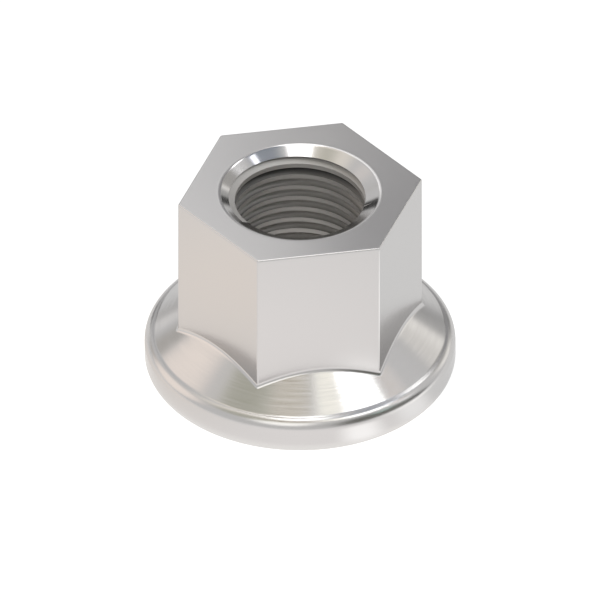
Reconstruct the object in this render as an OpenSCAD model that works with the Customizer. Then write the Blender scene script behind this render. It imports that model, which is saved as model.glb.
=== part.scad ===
// Hexagon nut with a conical flange, for a bolt with an M16 x 1.5 fine thread.
// It stands on its bearing face: the origin is the centre of that face, and +Z is the bolt's axis.

/* [Hexagon] */
// Width across the flats
across_flats = 24; // [22:0.1:27]
// Height over all, from the bearing face to the top face
height = 24; // [17:0.1:32]
// Width of the small bevel along the hexagon's edges
edge_bevel = 0.1; // [0.05:0.05:0.4]

/* [Flange] */
// Diameter of the flange
flange_d = 34.8; // [32:0.1:42]
// Height of the rim, from the bearing face to the foot of the cone
rim_height = 4.7; // [3.6:0.1:8]
// Radius of the round on the rim's upper edge
upper_round = 1.1; // [0.3:0.1:1.5]
// Radius of the round on the rim's lower edge
lower_round = 1.8; // [0.3:0.1:2]
// Slope of the cone, in degrees from level
cone_slope = 37; // [28:1:44]
// Radius of the fillet where the flats run into the cone
root_fillet = 0.6; // [0.3:0.1:1]

/* [Bore] */
// Diameter over the crests of the thread, which is the hole before the thread is cut
crest_d = 14.6; // [12:0.1:15.5]
// Diameter of the countersink at each end
countersink_d = 18; // [16.4:0.1:19.5]
// Included angle of the countersinks
countersink_angle = 120; // [90:1:130]
// Radius of the round at the mouth of each countersink
mouth_round = 0.8; // [0.2:0.1:1]

/* [Hidden] */
$fn = 96;
steel = [0.79, 0.78, 0.76];

SIDES = 6;
side_angle = 360 / SIDES;
half_side = side_angle / 2;
flat_r = across_flats / 2;
corner_r = flat_r / cos(half_side);
// How far a side reaches past the hexagon, to be cut off by the others
reach = 2 * corner_r;
// How far a cutter stands out past the face that it cuts
overcut = 1;

// The cone: its foot stands where the rim's upper round has turned level
flange_r = flange_d / 2;
foot_r = flange_r - upper_round;
function cone_z(r) = rim_height + (foot_r - r) * tan(cone_slope);

// The fillet: a ball that rolls along a flat and the cone keeps its centre on the flat's and the
// cone's parallel surfaces. Those cross in a shallow arch, and a circle is laid through the arch's
// crown and its two ends, which lie on the mitre planes at the hexagon's corners.
ball_x = flat_r + root_fillet;
function ball_z(r) = cone_z(r) + root_fillet / cos(cone_slope);
arch_crown = ball_z(ball_x);
arch_rise = arch_crown - ball_z(ball_x / cos(half_side));
arch_half_width = ball_x * tan(half_side);
arch_r = (pow(arch_half_width, 2) + pow(arch_rise, 2)) / (2 * arch_rise);
arch_angle = 2 * asin(arch_half_width / arch_r);
// The fillet's section lies this much deeper than tangent, so that it runs cleanly into both faces
seat = 0.03;
// How far the fillet's section reaches into the nut, and the arch on past its ends
root = 0.8;
spare_angle = 8;

// The countersink
crest_r = crest_d / 2;
countersink_r = countersink_d / 2;
countersink_slope = 90 - countersink_angle / 2;
mouth_r = countersink_r + mouth_round * tan(countersink_slope / 2);

// Section of the flange: rim, its two rounds, and the cone up to the bore
module flange_section() {
    polygon([
        [0, 0],
        [flange_r - lower_round, 0],
        [flange_r, lower_round],
        [flange_r, rim_height - upper_round],
        [foot_r, rim_height],
        [crest_r, cone_z(crest_r)],
        [0, cone_z(crest_r)],
    ]);
    translate([flange_r - lower_round, lower_round]) circle(lower_round);
    translate([foot_r, rim_height - upper_round]) circle(upper_round);
}

// Upright bar of hexagonal section with a corner towards +X
module hexagon_bar(r, to) {
    cylinder(r = r, h = to, $fn = SIDES);
}

// The hexagon with its fillets: what lies behind all six sides. The small bevels down its corners
// end where the fillets begin.
module hexagon() {
    bevel_r = (corner_r - edge_bevel * sin(half_side)) / cos(half_side);
    intersection() {
        intersection_for(i = [0 : SIDES - 1])
            rotate(half_side + i * side_angle) side();
        union() {
            rotate(half_side) hexagon_bar(bevel_r, height + overcut);
            hexagon_bar(reach, arch_crown - arch_rise);
        }
    }
}

// One side: all that lies behind the flat that faces +X, with its top bevel and its fillet
module side() {
    rotate([90, 0, 0])
        linear_extrude(2 * reach, center = true)
            polygon([
                [-reach, rim_height / 2],
                [flat_r, rim_height / 2],
                [flat_r, height - edge_bevel],
                [flat_r - edge_bevel, height],
                [-reach, height],
            ]);
    fillet();
}

// Section of the fillet. X is the distance from the arch's axis, Y the distance out from the flat.
module fillet_section() {
    foot_y = root_fillet * (1 - sin(cone_slope));
    foot_x = root_fillet * cos(cone_slope) + root;
    translate([arch_r, 0]) difference() {
        translate([-foot_x, -root]) square([foot_x, root + foot_y]);
        translate([-seat, root_fillet - seat]) circle(root_fillet);
    }
}

// Fillet along the flat that faces +X. It runs on past both corners, where the next sides cut it off.
module fillet() {
    sweep = arch_angle + 2 * spare_angle;
    translate([flat_r, 0, arch_crown - arch_r])
        rotate([0, 90, 0])
            rotate(180 - sweep / 2)
                rotate_extrude(angle = sweep)
                    fillet_section();
}

// Countersink with a rounded mouth, cut down from z = 0
module countersink() {
    round_x = mouth_r - mouth_round * sin(countersink_slope);
    round_y = mouth_round * (1 - cos(countersink_slope));
    rotate_extrude() difference() {
        polygon([
            [0, overcut],
            [mouth_r, overcut],
            [mouth_r, -round_y],
            [round_x, -round_y],
            [0, -round_y - round_x * tan(countersink_slope)],
        ]);
        translate([mouth_r, -mouth_round]) circle(mouth_round);
    }
}

// The whole nut: flange and hexagon, bored and countersunk from both ends
module nut() {
    color(steel) difference() {
        union() {
            rotate_extrude() flange_section();
            hexagon();
        }
        translate([0, 0, -overcut]) cylinder(r = crest_r, h = height + 2 * overcut);
        translate([0, 0, height]) countersink();
        mirror([0, 0, 1]) countersink();
    }
}

nut();
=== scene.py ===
# Hexagon nut with a conical flange, cut with an M16 x 1.5 thread, standing on its bearing face.
# The body is a section turned about the bore, whose upper part is then pressed into a hexagon.
# The thread is a profile turned along its helix and trimmed by the countersinks.
# Its steel shows a plain studio: soft patches on walls and ceiling, lamps, and a glowing floor with
# painted pools of light.
from math import acos, atan2, cos, degrees, hypot, pi, radians, sin, tan

import bmesh
import bpy
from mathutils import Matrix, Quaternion, Vector


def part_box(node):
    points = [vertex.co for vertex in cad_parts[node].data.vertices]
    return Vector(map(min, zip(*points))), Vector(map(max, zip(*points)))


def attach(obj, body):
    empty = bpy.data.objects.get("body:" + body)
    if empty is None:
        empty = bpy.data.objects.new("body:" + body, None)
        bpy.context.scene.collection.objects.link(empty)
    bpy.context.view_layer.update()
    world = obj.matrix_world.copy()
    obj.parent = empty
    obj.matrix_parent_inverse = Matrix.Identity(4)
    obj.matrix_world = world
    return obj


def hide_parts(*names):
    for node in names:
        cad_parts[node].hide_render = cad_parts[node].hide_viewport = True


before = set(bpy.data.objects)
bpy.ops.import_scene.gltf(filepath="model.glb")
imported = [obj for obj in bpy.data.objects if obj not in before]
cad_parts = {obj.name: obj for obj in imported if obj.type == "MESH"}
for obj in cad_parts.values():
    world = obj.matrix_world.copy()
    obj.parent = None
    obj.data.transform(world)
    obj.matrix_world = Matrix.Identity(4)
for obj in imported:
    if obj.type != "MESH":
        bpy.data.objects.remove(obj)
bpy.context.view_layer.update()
low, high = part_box("nut")

# All sizes are in millimetres, and turned to the frame's metres by MM.
MM = 0.001
HEIGHT = (high[2] - low[2]) / MM
FLANGE_R = (high[1] - low[1]) / MM / 2  # measured across Y, where the frame is narrowest

# Hexagon
FLAT_R = 12.0
EDGE_ROUND = 0.16
CORNER_TURN = 0.55  # half of a rounded corner's width, in degrees as seen from the axis
CORNER_SUPPORT = 0.33  # degrees from there to the column that keeps the corner crisp

# Flange
RIM_HEIGHT = 4.7
FOOT_INSET = 1.1  # distance of the cone's foot from the rim's side
UPPER_ROUND = 1.4  # it ends at the cone's foot, a little short of level
LOWER_ROUND = 1.8
CONE_SLOPE = radians(37)
ROOT_FILLET = 0.6

# Bore and countersinks
CREST_R = 7.3
COUNTERSINK_R = 9.0
COUNTERSINK_SLOPE = radians(30)
MOUTH_ROUND = 0.8

# Thread
PITCH = 1.5
ROOT_R = 8.05
FLANK_SLOPE = radians(30)
ROOT_FLAT = 0.08
GROOVE_TOP = 22.963  # height of a groove's centre in the direction THREAD_START
THREAD_START = 80.1  # in degrees from +X

# Columns round the axis: six sides, each with a tight group at its corner
SIDES = 6
PER_SIDE = 48
COLUMNS = SIDES * PER_SIDE
CORNER_COLUMNS = 4  # in half a corner

# Rows along the section
RIM_STEPS = 16
FILLET_STEPS = 10
EDGE_STEPS = 4
MOUTH_STEPS = 8
MOUTH_ROWS = 5  # rows of the countersink's round that have the mouth's finish
SUPPORT = 0.12  # distance of a supporting row of faces from the edge that it keeps crisp
NEAR = 0.0005  # points nearer than this are one
SETTLING = 12  # passes that bring a point of the fillet to its place

HALF_SIDE = pi / SIDES
FOOT_R = FLANGE_R - FOOT_INSET
# Distance from the axis to the centre of the ball that rolls the fillet
BALL_X = FLAT_R + ROOT_FILLET
# Where the countersink's round ends on the top face
MOUTH_R = COUNTERSINK_R + MOUTH_ROUND * tan(COUNTERSINK_SLOPE / 2)
# The ring on the countersink where body and thread are welded, and its depth below the top face
RING_R = ROOT_R + 0.1
RING_DEPTH = (COUNTERSINK_R - RING_R) * tan(COUNTERSINK_SLOPE)


def cone_z(r):
    """Height of the flange's cone at a radius."""
    return RIM_HEIGHT + (FOOT_R - r) * tan(CONE_SLOPE)


# A station is a point of the section, given as a function: it takes the angle from the middle of
# the nearest flat, and gives the point's radius and height there.


def turned(r, z):
    """A station that stays round."""
    return lambda angle: (r, z)


def pressed(apothem, z):
    """A station that is pressed into a hexagon, at a distance from the axis to its flats."""
    return lambda angle: (apothem / cos(angle), z)


def fillet(share):
    """A station of the fillet, from the cone at share 0 to the flat at share 1.

    A ball rolls in the corner between flat and cone. Its place along the flat is the one whose arc
    meets the upright plane at the angle asked for.
    """
    def place(angle):
        along = BALL_X * tan(angle)
        for _ in range(SETTLING):
            centre_r = hypot(BALL_X, along)
            centre_z = cone_z(centre_r) + ROOT_FILLET / cos(CONE_SLOPE)
            turn = atan2(along, BALL_X)
            to_cone = -Vector((
                sin(CONE_SLOPE) * cos(turn), sin(CONE_SLOPE) * sin(turn), cos(CONE_SLOPE)
            ))
            to_flat = Vector((-1, 0, 0))
            point = Vector((BALL_X, along, centre_z)) + ROOT_FILLET * to_cone.slerp(to_flat, share)
            along += point.x * tan(angle) - point.y
        return hypot(point.x, point.y), point.z
    return place


def between(lower, upper, share):
    """A station part of the way from one station to another."""
    def place(angle):
        r0, z0 = lower(angle)
        r1, z1 = upper(angle)
        return r0 + share * (r1 - r0), z0 + share * (z1 - z0)
    return place


def flipped(station):
    """A station as it lies at the other end of the nut."""
    def place(angle):
        r, z = station(angle)
        return r, HEIGHT - z
    return place


def arc(kind, centre_r, centre_z, radius, start, end, steps):
    """Stations along an arc of the section. Its angles are in degrees, from level outwards."""
    for i in range(steps + 1):
        angle = radians(start + (end - start) * i / steps)
        yield kind(centre_r + radius * cos(angle), centre_z + radius * sin(angle))


def countersink():
    """The countersink from the thread up to the top face."""
    slope = COUNTERSINK_SLOPE
    tangent_r = MOUTH_R - MOUTH_ROUND * sin(slope)
    tangent_z = HEIGHT - MOUTH_ROUND * (1 - cos(slope))
    ring = turned(RING_R, HEIGHT - RING_DEPTH)
    tangent = turned(tangent_r, tangent_z)
    yield ring
    for share in (0.1, 0.5, 0.9):
        yield between(ring, tangent, share)
    yield from arc(turned, MOUTH_R, HEIGHT - MOUTH_ROUND, MOUTH_ROUND, 120, 90, MOUTH_STEPS)


def section():
    """The finishes in order along the section, from the lower end of the thread to the upper one,
    each with its stations.

    A strip of faces belongs to the finish of its second station. On a straight stretch, rows close
    to its ends keep its shading even.
    """
    upper_countersink = list(countersink())
    yield "countersink", [flipped(station) for station in upper_countersink]

    bearing_r = FLANGE_R - LOWER_ROUND
    yield "bearing face", [
        turned(MOUTH_R + SUPPORT, 0),
        turned((MOUTH_R + bearing_r) / 2, 0),
        turned(bearing_r - SUPPORT, 0),
        turned(bearing_r, 0),
    ]

    upper_r = FLANGE_R - UPPER_ROUND
    upper_end = acos((FOOT_R - upper_r) / UPPER_ROUND)
    upper_z = RIM_HEIGHT - UPPER_ROUND * sin(upper_end)
    yield "rim", [
        *list(arc(turned, bearing_r, LOWER_ROUND, LOWER_ROUND, -90, 0, RIM_STEPS))[1:],
        turned(FLANGE_R, LOWER_ROUND + SUPPORT),
        turned(FLANGE_R, upper_z - SUPPORT),
        *arc(turned, upper_r, upper_z, UPPER_ROUND, 0, degrees(upper_end), RIM_STEPS),
    ]

    cone_foot = turned(FOOT_R, RIM_HEIGHT)
    cone_top = fillet(0)
    yield "cone", [
        *(between(cone_foot, cone_top, share) for share in (0.04, 0.3, 0.65, 0.96)),
        cone_top,
    ]
    flat_foot = fillet(1)
    flat_top = pressed(FLAT_R, HEIGHT - EDGE_ROUND)
    edge_r, edge_z = FLAT_R - EDGE_ROUND, HEIGHT - EDGE_ROUND
    yield "flat", [
        *(fillet((i + 1) / FILLET_STEPS) for i in range(FILLET_STEPS)),
        *(between(flat_foot, flat_top, share) for share in (0.01, 0.35, 0.7, 0.99)),
        *list(arc(pressed, edge_r, edge_z, EDGE_ROUND, 0, 90, EDGE_STEPS))[:-1],
    ]

    rim_of_top = pressed(edge_r, HEIGHT)
    mouth = turned(MOUTH_R, HEIGHT)
    yield "top face", [
        rim_of_top,
        pressed(edge_r - SUPPORT, HEIGHT),
        *(between(rim_of_top, mouth, share) for share in (0.35, 0.7)),
        turned(MOUTH_R + SUPPORT, HEIGHT),
    ]
    downwards = upper_countersink[::-1]
    yield "mouth", downwards[:MOUTH_ROWS]
    yield "countersink", downwards[MOUTH_ROWS:]


def side_angles():
    """Angles from a flat's middle to the columns of one side, from its first corner to its second."""
    corner = [CORNER_TURN * i / CORNER_COLUMNS for i in range(CORNER_COLUMNS + 1)]
    inner = corner + [CORNER_TURN + CORNER_SUPPORT]
    flat_steps = PER_SIDE - 2 * (len(inner) - 1)
    half = 180 / SIDES
    start = inner[-1]
    width = 2 * (half - start)
    flat = [start + width * i / flat_steps for i in range(1, flat_steps)]
    from_corner = inner + flat + [2 * half - angle for angle in reversed(inner)]
    return [radians(angle - half) for angle in from_corner]


def on_section(station, column, angles, even=False):
    """The point of a station in one column, with the hexagon's corners still sharp. Even columns are
    as far apart everywhere as the thread's are."""
    side, step = divmod(column, PER_SIDE)
    angle = angles[step]
    if even:
        angle = step * 2 * HALF_SIDE / PER_SIDE - HALF_SIDE
    r, z = station(angle)
    around = (2 * side + 1) * HALF_SIDE + angle
    return Vector((r * cos(around), r * sin(around), z))


def rounded_corner(station, column, angles):
    """The point of a pressed station in one column, with the hexagon's corners rounded. A corner is a
    curve from its first column to its last, drawn towards the sharp one between them."""
    from_corner = (column + CORNER_COLUMNS) % PER_SIDE
    if from_corner > 2 * CORNER_COLUMNS:
        return on_section(station, column, angles)
    first = column - from_corner
    t = from_corner / (2 * CORNER_COLUMNS)
    start, corner, end = (
        on_section(station, (first + i * CORNER_COLUMNS) % COLUMNS, angles) for i in range(3)
    )
    return (1 - t) ** 2 * start + 2 * t * (1 - t) * corner + t ** 2 * end


def spin_section(bm, outline, rise=0.0):
    """Turns a row of points once about the axis, and says which row and column each vertex is in."""
    row_of = bm.verts.layers.int.new("row")
    column_of = bm.verts.layers.int.new("column")
    verts = [bm.verts.new((r, 0, z)) for r, z in outline]
    for row, vert in enumerate(verts):
        vert[row_of] = row
    edges = [bm.edges.new(pair) for pair in zip(verts, verts[1:])]
    bmesh.ops.spin(
        bm, geom=verts + edges, cent=(0, 0, 0), axis=(0, 0, 1), dvec=(0, 0, rise / COLUMNS),
        angle=2 * pi, steps=COLUMNS, use_merge=rise == 0, use_duplicate=False,
    )
    step = 2 * pi / COLUMNS
    for vert in bm.verts:
        vert[column_of] = round(atan2(vert.co.y, vert.co.x) / step) % COLUMNS
    return row_of, column_of


def make_body(finishes):
    """The nut without its thread: an open tube whose two end rings lie on the countersinks."""
    stations, finish_of = [], []
    for finish, stretch in section():
        stations += stretch
        finish_of += [finish] * len(stretch)
    hexagonal = [finish in ("flat", "top face") for finish in finish_of]
    even = [finish in ("countersink", "mouth") for finish in finish_of]

    bm = bmesh.new()
    row_of, column_of = spin_section(bm, [station(0) for station in stations])
    angles = side_angles()
    for vert in bm.verts:
        row, column = vert[row_of], vert[column_of]
        if hexagonal[row]:
            vert.co = rounded_corner(stations[row], column, angles)
        else:
            vert.co = on_section(stations[row], column, angles, even[row])
    for face in bm.faces:
        face.material_index = finishes.index(finish_of[max(vert[row_of] for vert in face.verts)])
    return bm


def thread_profile():
    """Radius and height of the thread's corners on the +X side, from under the nut to over it."""
    flank = (ROOT_R - CREST_R) * tan(FLANK_SLOPE)
    groove = [
        (CREST_R, -ROOT_FLAT / 2 - flank),
        (ROOT_R, -ROOT_FLAT / 2),
        (ROOT_R, ROOT_FLAT / 2),
        (CREST_R, ROOT_FLAT / 2 + flank),
    ]
    start = GROOVE_TOP - PITCH * THREAD_START / 360
    turns_down = round(HEIGHT / PITCH) + 1
    turns_up = 1
    return [
        (r, start + turn * PITCH + z) for turn in range(-turns_down, turns_up + 1) for r, z in groove
    ]


def sink_r(z):
    """Radius of the upper countersink's cone at a height."""
    return COUNTERSINK_R - (HEIGHT - z) / tan(COUNTERSINK_SLOPE)


def in_countersink(point):
    """Whether a point of the bore's wall lies on either countersink."""
    reach = max(sink_r(point.z), sink_r(HEIGHT - point.z))
    return hypot(point.x, point.y) < reach + NEAR


def trimmed(profile):
    """One column of the thread's corners, going up, with those past the upper countersink laid on it.

    The corner next above the crossing moves down its flank to it, so the lip lies where the real
    cutter leaves it.
    """
    points = []
    crossed = False
    for i, (r, z) in enumerate(profile):
        if crossed and z >= HEIGHT - RING_DEPTH:
            r, z = RING_R, HEIGHT - RING_DEPTH
        elif crossed:
            r = sink_r(z)
        elif r < sink_r(z):
            r0, z0 = profile[i - 1]
            inside, outside = r0 - sink_r(z0), sink_r(z) - r
            share = inside / (inside + outside)
            r, z = r0 + share * (r - r0), z0 + share * (z - z0)
            crossed = True
        points.append((r, z))
    return points


def upside_down(profile):
    """The profile as seen from the other end of the nut."""
    return [(r, HEIGHT - z) for r, z in reversed(profile)]


def make_thread(finishes):
    """The wall of the bore between the two rings: a helix cut by both countersinks."""
    bm = bmesh.new()
    profile = thread_profile()
    row_of, column_of = spin_section(bm, profile, rise=PITCH)
    trimmed_after = {}
    for vert in bm.verts:
        row = vert[row_of]
        lift = vert.co.z - profile[row][1]
        steps = round(lift / PITCH * COLUMNS)
        if steps not in trimmed_after:
            risen = [(r, z + lift) for r, z in profile]
            trimmed_after[steps] = upside_down(trimmed(upside_down(trimmed(risen))))
        r, z = trimmed_after[steps][row]
        around = vert[column_of] * 2 * pi / COLUMNS
        vert.co = (r * cos(around), r * sin(around), z)
    for face in bm.faces:
        if all(in_countersink(vert.co) for vert in face.verts):
            finish = "countersink"
        elif all(hypot(vert.co.x, vert.co.y) < CREST_R + NEAR for vert in face.verts):
            finish = "crest"
        else:
            finish = "flank"
        face.material_index = finishes.index(finish)
    return bm


def join(parts):
    """One bmesh out of several, welded where their rings meet."""
    whole = bmesh.new()
    for part in parts:
        mesh = bpy.data.meshes.new("part")
        part.to_mesh(mesh)
        part.free()
        whole.from_mesh(mesh)
        bpy.data.meshes.remove(mesh)
    bmesh.ops.remove_doubles(whole, verts=whole.verts, dist=NEAR)
    bmesh.ops.dissolve_degenerate(whole, edges=whole.edges, dist=NEAR)
    bmesh.ops.recalc_face_normals(whole, faces=whole.faces)
    return whole


FINISHES = [
    "countersink", "mouth", "bearing face", "rim", "cone", "flat", "top face", "crest", "flank",
]
SHARP = 28  # edges that turn by more degrees than this are sharp


def make_nut(materials):
    """The whole nut, body and thread, as one piece that stands for the frame's."""
    bm = join([make_body(FINISHES), make_thread(FINISHES)])
    bmesh.ops.scale(bm, vec=(MM, MM, MM), verts=bm.verts)
    for face in bm.faces:
        face.smooth = True
    mesh = bpy.data.meshes.new("nut_body")
    bm.to_mesh(mesh)
    bm.free()
    mesh.set_sharp_from_angle(angle=radians(SHARP))
    for finish in FINISHES:
        mesh.materials.append(materials[finish])
    nut = bpy.data.objects.new("nut_body", mesh)
    bpy.context.scene.collection.objects.link(nut)
    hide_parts("nut")
    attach(nut, "root")


class Value:
    """A number, point or colour that varies over a surface. Arithmetic on numbers adds Math nodes."""

    def __init__(self, graph, socket):
        self.graph, self.socket = graph, socket

    def math(self, operation, *others):
        """A Math node that takes this number first."""
        return self.graph.add("ShaderNodeMath", {"operation": operation}, [self, *others])

    def __add__(self, other):
        return self.math("ADD", other)

    def __sub__(self, other):
        return self.math("SUBTRACT", other)

    def __mul__(self, other):
        return self.math("MULTIPLY", other)

    def __truediv__(self, other):
        return self.math("DIVIDE", other)

    def __rsub__(self, other):
        return self.graph.add("ShaderNodeMath", {"operation": "SUBTRACT"}, [other, self])

    def __rtruediv__(self, other):
        return self.graph.add("ShaderNodeMath", {"operation": "DIVIDE"}, [other, self])

    __radd__ = __add__
    __rmul__ = __mul__


class Graph:
    """The nodes of one material or world."""

    def __init__(self, owner):
        owner.use_nodes = True
        self.tree = owner.node_tree
        self.tree.nodes.clear()

    def add(self, kind, settings=None, inputs=(), output=0):
        """Adds a node, and gives one of its outputs. The inputs go by name or by place."""
        node = self.tree.nodes.new(kind)
        for name, setting in (settings or {}).items():
            setattr(node, name, setting)
        pairs = inputs.items() if isinstance(inputs, dict) else enumerate(inputs)
        for key, given in pairs:
            if isinstance(given, Value):
                self.tree.links.new(given.socket, node.inputs[key])
            else:
                node.inputs[key].default_value = given
        if output is None:
            return node
        return Value(self, node.outputs[output])

    def mix(self, share, first, second):
        """A colour part of the way from the first to the second. The node's colours are its inputs 6
        and 7 and its output 2, because those for numbers and vectors come first."""
        return self.add("ShaderNodeMix", {"data_type": "RGBA"}, {0: share, 6: first, 7: second}, 2)

    def fade(self, value, start, end):
        """From 0 where the value is at start to 1 where it is at end, softly."""
        return self.add("ShaderNodeMapRange", {"interpolation_type": "SMOOTHSTEP"}, {
            "Value": value, "From Min": start, "From Max": end,
        })

    def place(self):
        """Object coordinates in millimetres."""
        point = self.add("ShaderNodeTexCoord", output="Object")
        return self.add("ShaderNodeVectorMath", {"operation": "SCALE"}, {0: point, "Scale": 1 / MM})

    def parts(self, point):
        """The three coordinates of a point, as numbers."""
        node = self.add("ShaderNodeSeparateXYZ", None, [point], None)
        return [Value(self, socket) for socket in node.outputs]

    def turning_marks(self, along, across):
        """Fine lines left by turning: how often they change on the way round, and how many of them
        lie side by side in a millimetre."""
        x, y, z = self.parts(self.place())
        r = (x * x + y * y).math("SQRT")
        point = self.add(
            "ShaderNodeCombineXYZ", None, [x / r * along, y / r * along, (r * 2 + z) * across]
        )
        return self.add(
            "ShaderNodeTexNoise", None,
            {"Vector": point, "Scale": 1.0, "Detail": 1.0, "Roughness": 0.5}, "Fac",
        )

    def finish_with(self, shader):
        """Makes a shader the material's surface."""
        self.add("ShaderNodeOutputMaterial", None, {"Surface": shader}, None)


BRIGHT_STEEL = (0.54, 0.53, 0.525)
CREST_STEEL = (0.58, 0.565, 0.55)
THREAD_ROUGHNESS = 0.6
# How much of the light the steel sends back where it is seen at a grazing angle
EDGE_TINT = 0.85


def steel(name, colour, roughness, anisotropy=0.0, grain=0.0, depth=0.0, marks=None):
    """A steel finish. Marks says how its turning marks lie, anisotropy how far they stretch its
    reflections, grain how much they change its roughness, and depth how deep they are."""
    material = bpy.data.materials.new(name)
    graph = Graph(material)
    inputs = {
        "Base Color": (*colour, 1), "Metallic": 1.0, "Roughness": roughness,
        "Anisotropic": anisotropy, "Anisotropic Rotation": 0.25,
        "Specular Tint": (EDGE_TINT, EDGE_TINT, EDGE_TINT, 1),
    }
    if marks:
        lines = graph.turning_marks(*marks)
        inputs["Roughness"] = (lines - 0.5) * grain + roughness
        inputs["Normal"] = graph.add(
            "ShaderNodeBump", None, {"Strength": 1.0, "Distance": depth * MM, "Height": lines}
        )
    shader = graph.add("ShaderNodeBsdfPrincipled", None, inputs)
    graph.finish_with(shader)
    return material


# Colours of the flanks, with light and shade painted in: painted shade where they meet the crests, and
# painted light deep in the root that outweighs the shade falling there
FLANK_PAINTED_SHADE_AT_CREST = (0.10, 0.097, 0.093)
FLANK_PAINTED_LIGHT_AT_ROOT = (0.80, 0.78, 0.76)
# Light and shade painted on the thread's flanks near the upper mouth: painted shade in the groove
# under the mouth, then painted light nearer the top face. For each, how far below the top face it
# begins and where it is full, and its colour
PAINTED_MOUTH_LIGHT_AND_SHADE = [
    (4.5, 2.6, (0.16, 0.157, 0.153)),
    (2.6, 1.2, (0.46, 0.45, 0.44)),
]


def thread_flanks():
    """The flanks of the thread, with light and shade painted into their colour: painted light in the
    root and at the bore's mouth, painted shade at the crests and in the groove under the mouth."""
    material = bpy.data.materials.new("thread flanks, painted light and shade")
    graph = Graph(material)
    x, y, z = graph.parts(graph.place())
    # Painted shade towards the crests, painted light towards the root
    depth = graph.add("ShaderNodeMapRange", None, {
        "Value": (x * x + y * y).math("SQRT"), "From Min": CREST_R, "From Max": ROOT_R,
    })
    colour = graph.mix(depth, (*FLANK_PAINTED_SHADE_AT_CREST, 1), (*FLANK_PAINTED_LIGHT_AT_ROOT, 1))
    # Paints the shade in the groove under the mouth, then the light above it
    for start, end, shade in PAINTED_MOUTH_LIGHT_AND_SHADE:
        share = graph.fade(z, HEIGHT - start, HEIGHT - end)
        colour = graph.mix(share, colour, (*shade, 1))
    graph.finish_with(graph.add("ShaderNodeBsdfPrincipled", None, {
        "Base Color": colour, "Metallic": 1.0, "Roughness": THREAD_ROUGHNESS,
    }))
    return material


def make_materials():
    """A material for each finish of the steel."""
    return {
        "countersink": steel(
            "polished countersink", BRIGHT_STEEL, 0.14,
            anisotropy=0.6, grain=0.06, depth=0.001, marks=(3, 4),
        ),
        "mouth": steel("rounded mouth", BRIGHT_STEEL, 0.3),
        "bearing face": steel(
            "turned bearing face", BRIGHT_STEEL, 0.3,
            anisotropy=0.6, grain=0.15, depth=0.003, marks=(8, 8),
        ),
        "rim": steel(
            "polished rim", BRIGHT_STEEL, 0.25,
            anisotropy=0.3, grain=0.04, depth=0.0005, marks=(3, 10),
        ),
        "cone": steel(
            "turned cone", BRIGHT_STEEL, 0.22,
            anisotropy=0.8, grain=0.16, depth=0.0008, marks=(3, 5),
        ),
        "flat": steel("satin flats", BRIGHT_STEEL, 0.19),
        "top face": steel(
            "turned top face", BRIGHT_STEEL, 0.32,
            anisotropy=0.5, grain=0.08, depth=0.001, marks=(4, 5),
        ),
        "crest": steel("thread crests", CREST_STEEL, THREAD_ROUGHNESS),
        "flank": thread_flanks(),
    }


# The camera looks down from 36.7 degrees, without perspective
VIEW_AZIMUTH = -99.9
VIEW_ELEVATION = 36.7
VIEW_WIDTH = 67.06
AIM_HEIGHT = 8.92  # the point of the nut's axis in the middle of the picture
CAMERA_DISTANCE = 500


def toward(front, right, up):
    """A direction given from the camera's place: to its side of the nut, to its right, and up."""
    azimuth = radians(VIEW_AZIMUTH)
    nearer = Vector((cos(azimuth), sin(azimuth), 0))
    rightward = Vector((-sin(azimuth), cos(azimuth), 0))
    return (front * nearer + right * rightward + up * Vector((0, 0, 1))).normalized()


FLOOR_REACH = 2000  # from the nut's axis to the floor's edges
FLOOR_COLOUR = (0.12, 0.12, 0.12)
FLOOR_GLOW = 0.88
GLOW_COLOUR = (1.06, 1.06, 1.06)
# Pools of painted light on the floor, a glow that no lamp casts: place to the front and right of the
# nut's axis, radius within which the pool is full, radius at which it ends, and the glow's colour
# there
PAINTED_LIGHT_POOLS = [
    (30, 0, 0, 45, (1.31, 1.27, 1.26)),
    (6, -34, 0, 34, (1.27, 1.17, 1.09)),
    (15, 32, 5, 17, (2.00, 1.99, 1.97)),
    (0, 0, 16.5, 20.5, (1.50, 1.48, 1.45)),
    (2, 21, 5, 11, (1.06, 1.06, 1.06)),
    (18.5, 9.5, 1, 5, (1.85, 1.84, 1.83)),
    (12, 17, 1, 5, (1.50, 1.50, 1.50)),
]


def make_floor():
    """A pale floor that glows softly, and more in its pools of painted light."""
    bm = bmesh.new()
    bmesh.ops.create_grid(bm, x_segments=1, y_segments=1, size=FLOOR_REACH * MM)
    mesh = bpy.data.meshes.new("floor")
    bm.to_mesh(mesh)
    bm.free()
    floor = bpy.data.objects.new("floor", mesh)
    bpy.context.scene.collection.objects.link(floor)
    material = bpy.data.materials.new("pale floor")
    graph = Graph(material)
    glow = (*GLOW_COLOUR, 1)
    # Each pool paints extra glow onto the floor: painted light, not cast by a lamp
    for front, right, inner, outer, colour in PAINTED_LIGHT_POOLS:
        centre = front * toward(1, 0, 0) + right * toward(0, 1, 0)
        distance = graph.add(
            "ShaderNodeVectorMath", {"operation": "DISTANCE"}, [graph.place(), centre], "Value"
        )
        glow = graph.mix(graph.fade(distance, outer, inner), glow, (*colour, 1))
    graph.finish_with(graph.add("ShaderNodeBsdfPrincipled", None, {
        "Base Color": (*FLOOR_COLOUR, 1), "Roughness": 0.9, "Specular IOR Level": 0.0,
        "Emission Color": glow, "Emission Strength": FLOOR_GLOW,
    }))
    mesh.materials.append(material)


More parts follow.
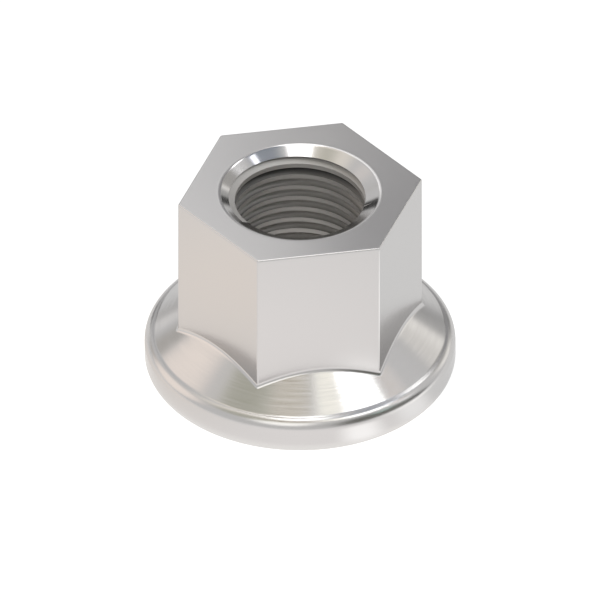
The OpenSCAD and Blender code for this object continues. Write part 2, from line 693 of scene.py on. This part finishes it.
def make_camera():
    """The camera, without perspective."""
    camera = bpy.data.objects.new("camera", bpy.data.cameras.new("camera"))
    bpy.context.scene.collection.objects.link(camera)
    camera.data.type = "ORTHO"
    camera.data.ortho_scale = VIEW_WIDTH * MM
    elevation = radians(VIEW_ELEVATION)
    away = toward(cos(elevation), 0, sin(elevation))
    camera.location = Vector((0, 0, AIM_HEIGHT * MM)) + CAMERA_DISTANCE * MM * away
    camera.rotation_euler = away.to_track_quat("Z", "Y").to_euler()
    bpy.context.scene.camera = camera


ROOM_COLOUR = (0.85, 0.85, 0.85)
# Soft patches of the studio's walls and ceiling: direction to the front, right and up, angles in
# degrees from the centre to where the patch begins to fade and to where it ends, and its colour.
# A later patch covers those before it.
PATCHES = [
    ("front", (1.0, 0.0, 0.2), 30, 60, (0.80, 0.80, 0.79)),
    ("front right", (0.56, 0.78, 0.28), 18, 34, (0.18, 0.18, 0.16)),
    ("right", (0.08, 0.98, 0.10), 8, 14, (0.08, 0.08, 0.07)),
    ("front right spot", (0.37, 0.76, 0.54), 3, 8, (0.85, 1.10, 1.02)),
    ("behind", (-0.80, 0.10, 0.59), 15, 35, (0.38, 0.38, 0.39)),
    ("left wall", (-0.22, -0.88, 0.42), 16, 26, (1.45, 1.31, 1.21)),
    ("left corner", (-0.66, -0.68, 0.32), 2, 9, (0.60, 0.57, 0.52)),
    ("left low", (-0.85, -0.53, 0.08), 5, 10, (1.20, 1.18, 1.16)),
    ("left behind", (-0.893, -0.425, 0.16), 4, 7, (0.02, 0.02, 0.02)),
    ("right wall", (-0.61, 0.725, 0.33), 7, 17, (1.45, 1.42, 1.36)),
    ("right edge", (-0.02, 0.68, 0.73), 3, 9, (1.00, 0.92, 0.84)),
    ("right behind", (-0.84, 0.50, 0.22), 6, 12, (0.58, 0.58, 0.57)),
    ("right behind spot", (-0.867, 0.457, 0.202), 3, 6, (0.06, 0.06, 0.06)),
    ("right wall top", (-0.593, 0.593, 0.544), 7, 11, (0.56, 0.55, 0.53)),
    ("right window", (0.05, 0.80, 0.60), 4, 8, (1.75, 1.75, 1.78)),
    ("overhead left", (-0.08, -0.33, 0.94), 8, 22, (1.20, 1.14, 1.04)),
    ("front high", (0.66, -0.16, 0.73), 13, 20, (1.90, 1.88, 1.82)),
    ("upper left", (0.24, -0.42, 0.87), 11, 18, (0.60, 0.60, 0.50)),
    ("upper front", (0.345, -0.08, 0.935), 9, 12, (0.58, 0.52, 0.40)),
    ("upper front right", (0.30, 0.25, 0.92), 5, 9, (2.1, 2.05, 1.85)),
    ("upper right", (-0.14, 0.34, 0.93), 10, 17, (0.34, 0.38, 0.44)),
]


def make_room():
    """The studio, with its patches."""
    world = bpy.data.worlds.new("studio")
    graph = Graph(world)
    look = graph.add("ShaderNodeTexCoord", output="Generated")
    room = (*ROOM_COLOUR, 1)
    for _, direction, inner, outer, colour in PATCHES:
        along = graph.add(
            "ShaderNodeVectorMath", {"operation": "DOT_PRODUCT"}, [look, toward(*direction)], "Value"
        )
        share = graph.fade(along, cos(radians(outer)), cos(radians(inner)))
        room = graph.mix(share, room, (*colour, 1))
    background = graph.add("ShaderNodeBackground", None, {"Color": room, "Strength": 1.0})
    graph.add("ShaderNodeOutputWorld", None, {"Surface": background}, None)
    bpy.context.scene.world = world
    bpy.context.scene.view_settings.view_transform = "Standard"


WHITE = (1, 1, 1)
# Soft rectangular lamps that face the nut's middle: direction to the front, right and up, distance,
# width, height, turn about the direction in degrees, the brightness that a mirror shows, and colour
LAMPS = [
    ("right lamp", (0.17, 0.49, 0.855), 600, 225, 80, -29, 5.0, WHITE),
    ("overhead lamp", (-0.14, 0.0, 0.99), 600, 180, 360, 0, 2.6, WHITE),
    ("small lamp", (-0.133, 0.504, 0.853), 600, 50, 45, 0, 4.2, (0.91, 0.92, 1.0)),
    ("right back lamp", (-0.45, 0.46, 0.77), 600, 120, 100, 0, 3.2, WHITE),
    ("near panel", (-0.64, -0.19, 0.745), 105, 40, 60, 0, 0.87, WHITE),
]


def make_lamps():
    """The lamps round the nut."""
    for name, direction, distance, width, height, roll, glow, colour in LAMPS:
        lamp = bpy.data.objects.new(name, bpy.data.lights.new(name, "AREA"))
        bpy.context.scene.collection.objects.link(lamp)
        lamp.data.shape = "RECTANGLE"
        lamp.data.size, lamp.data.size_y = width * MM, height * MM
        lamp.data.energy = glow * lamp.data.size * lamp.data.size_y * pi
        lamp.data.color = colour
        away = toward(*direction)
        lamp.location = Vector((0, 0, HEIGHT / 2 * MM)) + distance * MM * away
        turn = Quaternion((0, 0, 1), radians(roll))
        lamp.rotation_euler = (away.to_track_quat("Z", "Y") @ turn).to_euler()


make_camera()
make_room()
make_lamps()
make_floor()
make_nut(make_materials())
